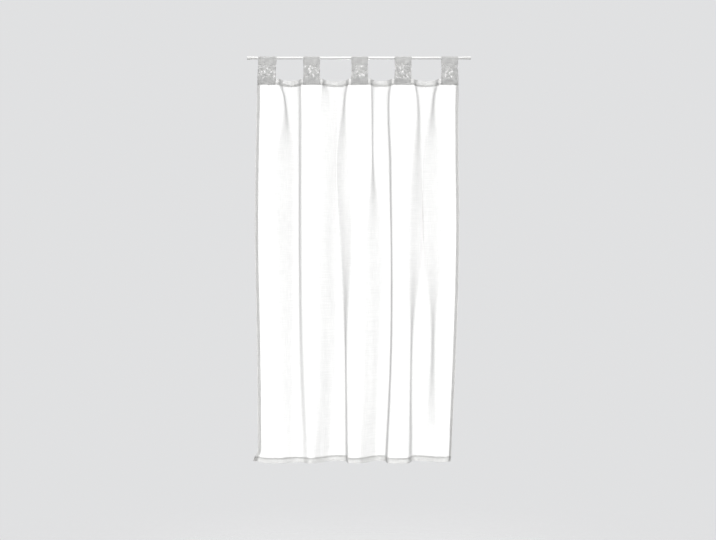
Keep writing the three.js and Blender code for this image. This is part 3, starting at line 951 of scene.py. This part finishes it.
def build_tab_seam(name):
    """The row of stitches through a tab's two ends and the heading between them."""
    middle, width, _, _ = TABS[name]
    x = np.arange(-width / 2 + SEAM_ENDS[0], width / 2 - SEAM_ENDS[1], STITCH["pitch"]) + middle
    u = x - middle + panel.along(middle, TAB_SEAT)
    lift = rumple(u, np.full(len(u), TOP_SEAM))[0]
    centres, outs = [], []
    for side in (-1, 1):
        y = side * (LEG_DEPTH + TAB_LAYER / 2 + STITCH_LIFT["tab"]) + lift
        centres.append(np.stack([x, y, np.full(len(x), TOP_SEAM)], 1))
        outs.append(np.tile([0.0, side, 0.0], (len(x), 1)))
    alongs = np.tile([1.0, 0.0, 0.0], (2 * len(x), 1))
    return stitches(name + "_seam", np.concatenate(centres), alongs, np.concatenate(outs))


# The rod and its ends


def with_crisp_ends(made):
    modifier = made.modifiers.new("crisp_ends", "EDGE_SPLIT")
    modifier.split_angle = math.radians(CRISP)
    return made


def end_faces(rings, sides):
    """The two flat ends of a round piece made of rings."""
    return [tuple(range(sides)), tuple((rings - 1) * sides + k for k in range(sides))[::-1]]


def turned_piece(name, profile, material):
    """A round piece turned about the rod's axis from (place along X, radius) pairs."""
    a = np.linspace(0, 2 * math.pi, ROUND_SIDES, endpoint=False)
    points = np.array([[(x, r * math.cos(t), r * math.sin(t)) for t in a] for x, r in profile])
    faces = [tuple(f) for f in grid_faces(len(profile), ROUND_SIDES, closed=True)]
    faces += end_faces(len(profile), ROUND_SIDES)
    made = mesh_from(name, points.reshape(-1, 3), faces, material)
    for k in (-2, -1):
        made.data.polygons[k].use_smooth = False
    return with_crisp_ends(made)


def eased(low, high, radius, ease, steps):
    """A straight side from low to high with both rims rounded."""
    out = []
    for k in range(steps + 1):
        a = math.radians(90 * k / steps)
        out.append((low + ease - ease * math.cos(a), radius - ease + ease * math.sin(a)))
    for k in range(steps + 1):
        a = math.radians(90 * k / steps)
        out.append((high - ease + ease * math.sin(a), radius - ease + ease * math.cos(a)))
    return out


def ribbed_foot(low, high):
    """The foot's profile with two shallow grooves round it."""
    profile = eased(low, high, FOOT["radius"], **FOOT_RIM)
    middle = (low + high) / 2
    grooves = [(middle + at + dx, FOOT["radius"] + dr) for at in GROOVE_PLACES for dx, dr in GROOVE]
    rim = len(profile) // 2
    return profile[:rim] + grooves + profile[rim:]


def build_collar(low, high):
    """The short twist ring, with fine ribs along it for the fingers."""
    radius = COLLAR["radius"]
    sides, inset = RIBBED_MESH["sides"], RIBBED_MESH["inset"]
    a = np.linspace(0, 2 * math.pi, sides, endpoint=False)
    hollow = (1 - np.cos(a * RIBS["count"])) / 2
    profile = eased(low, high, radius, **COLLAR_RIM)
    rim = len(profile) // 2
    middle = [(x, radius) for x in np.linspace(low + inset, high - inset, RIBBED_MESH["rings"])]
    profile = profile[:rim] + middle + profile[rim:]
    points = []
    for x, r in profile:
        begun = smoothstep(x, low + RIBS["from"], low + RIBS["full"])
        ended = smoothstep(x, high - RIBS["full"], high - RIBS["from"])
        ribbed = r - RIBS["depth"] * begun * (1 - ended) * hollow
        points.append(np.stack([np.full(sides, x), ribbed * np.cos(a), ribbed * np.sin(a)], 1))
    faces = [tuple(f) for f in grid_faces(len(profile), sides, closed=True)]
    faces += end_faces(len(profile), sides)
    return with_crisp_ends(mesh_from("collar_ring", np.concatenate(points), faces, rubber))


def build_rod():
    """The tube, its two feet, and the collar that lies between the tube and the right foot."""
    half = ROD_SPAN / 2
    inner = half - FOOT["length"]
    collar_out = inner - GAP
    collar_in = collar_out - COLLAR["length"]
    rod = turned_piece("rod_tube", eased(-inner + GAP, collar_in - GAP, ROD_RADIUS, **ROD_RIM), enamel)
    left = turned_piece("foot_left", ribbed_foot(-half, -inner), rubber)
    right = turned_piece("foot_right", ribbed_foot(inner, half), rubber)
    collar = build_collar(collar_in, collar_out)
    return rod, left, right, collar


# Put together

cloth, cloth_flat = build_panel()
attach(cloth, "root")
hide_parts("curtain_panel")

rod, foot_left, foot_right, collar = build_rod()
for piece, node, slot in (
    (rod, "rod", "rod_white"),
    (foot_left, "end_foot_left", "foot_white"),
    (foot_right, "end_foot_right", "foot_white"),
    (collar, "twist_collar", "foot_white"),
):
    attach(piece, "root")
    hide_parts(node)

seams = build_seams()
for piece in seams:
    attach(piece, "root")

for index, name in enumerate(TABS):
    strap, strap_flat = build_tab(name, index)
    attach(strap, "root")
    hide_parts(name)
    seam = build_tab_seam(name)
    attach(seam, "root")


# Floor, light and camera


def build_floor():
    rings, spokes = FLOOR["rings"], FLOOR["spokes"]
    points = [(0.0, 0.0, 0.0)]
    for k in range(1, rings + 1):
        for m in range(spokes):
            a = 2 * math.pi * m / spokes
            r = FLOOR["radius"] * k / rings / MM
            points.append((r * math.cos(a), r * math.sin(a), 0.0))
    faces = [(0, 1 + m, 1 + (m + 1) % spokes) for m in range(spokes)]
    for k in range(rings - 1):
        low = 1 + k * spokes
        high = low + spokes
        for m in range(spokes):
            n = (m + 1) % spokes
            faces.append((low + m, high + m, high + n, low + n))
    made = mesh_from("floor", points, faces, floor_material(), shift=(0, 0, 0))
    made.location = (ROD_SPAN / 2 * MM, 0, FLOOR["height"])
    return made


def aimed(place, aim):
    return (Vector(aim) - Vector(place)).to_track_quat("-Z", "Y").to_euler()


def hang_lamp(name, data, place, aim):
    lamp = new_object(name, data)
    lamp.location = place
    lamp.rotation_euler = aimed(place, aim)
    lamp.visible_camera = False


def sun_light(name, place, softness, strength):
    """Even light from far off in one direction, softness degrees wide."""
    data = bpy.data.lights.new(name, "SUN")
    data.energy = strength
    data.angle = math.radians(softness)
    hang_lamp(name, data, place, CENTRE)


def area_light(name, place, aim, size, power):
    data = bpy.data.lights.new(name, "AREA")
    data.shape = "RECTANGLE"
    data.size, data.size_y = size
    data.energy = power
    hang_lamp(name, data, place, aim)


def pale_room():
    """Even light all round: its backdrop shows paler than the light that it sheds."""
    world = bpy.data.worlds.new("pale_room")
    world.use_nodes = True
    tree = world.node_tree
    background = tree.nodes["Background"]
    background.inputs["Color"].default_value = ROOM["colour"]
    ray = tree.nodes.new("ShaderNodeLightPath")
    strength = tree.nodes.new("ShaderNodeMapRange")
    strength.inputs["To Min"].default_value = ROOM["shed"]
    strength.inputs["To Max"].default_value = ROOM["seen"]
    tree.links.new(ray.outputs["Is Camera Ray"], strength.inputs["Value"])
    tree.links.new(strength.outputs["Result"], background.inputs["Strength"])
    return world


def level_camera():
    data = bpy.data.cameras.new("camera")
    data.sensor_width = CAMERA["sensor"]
    data.lens = CAMERA["lens"]
    camera = new_object("camera", data)
    camera.location = CAMERA["place"]
    camera.rotation_euler = (math.radians(90), 0, 0)
    return camera


build_floor()
for name, (place, softness, strength) in SUNS.items():
    sun_light(name, place, softness, strength)
area_light("rod_light", **ROD_LIGHT)
bpy.context.scene.world = pale_room()
bpy.context.scene.view_settings.view_transform = "Standard"
bpy.context.scene.camera = level_camera()
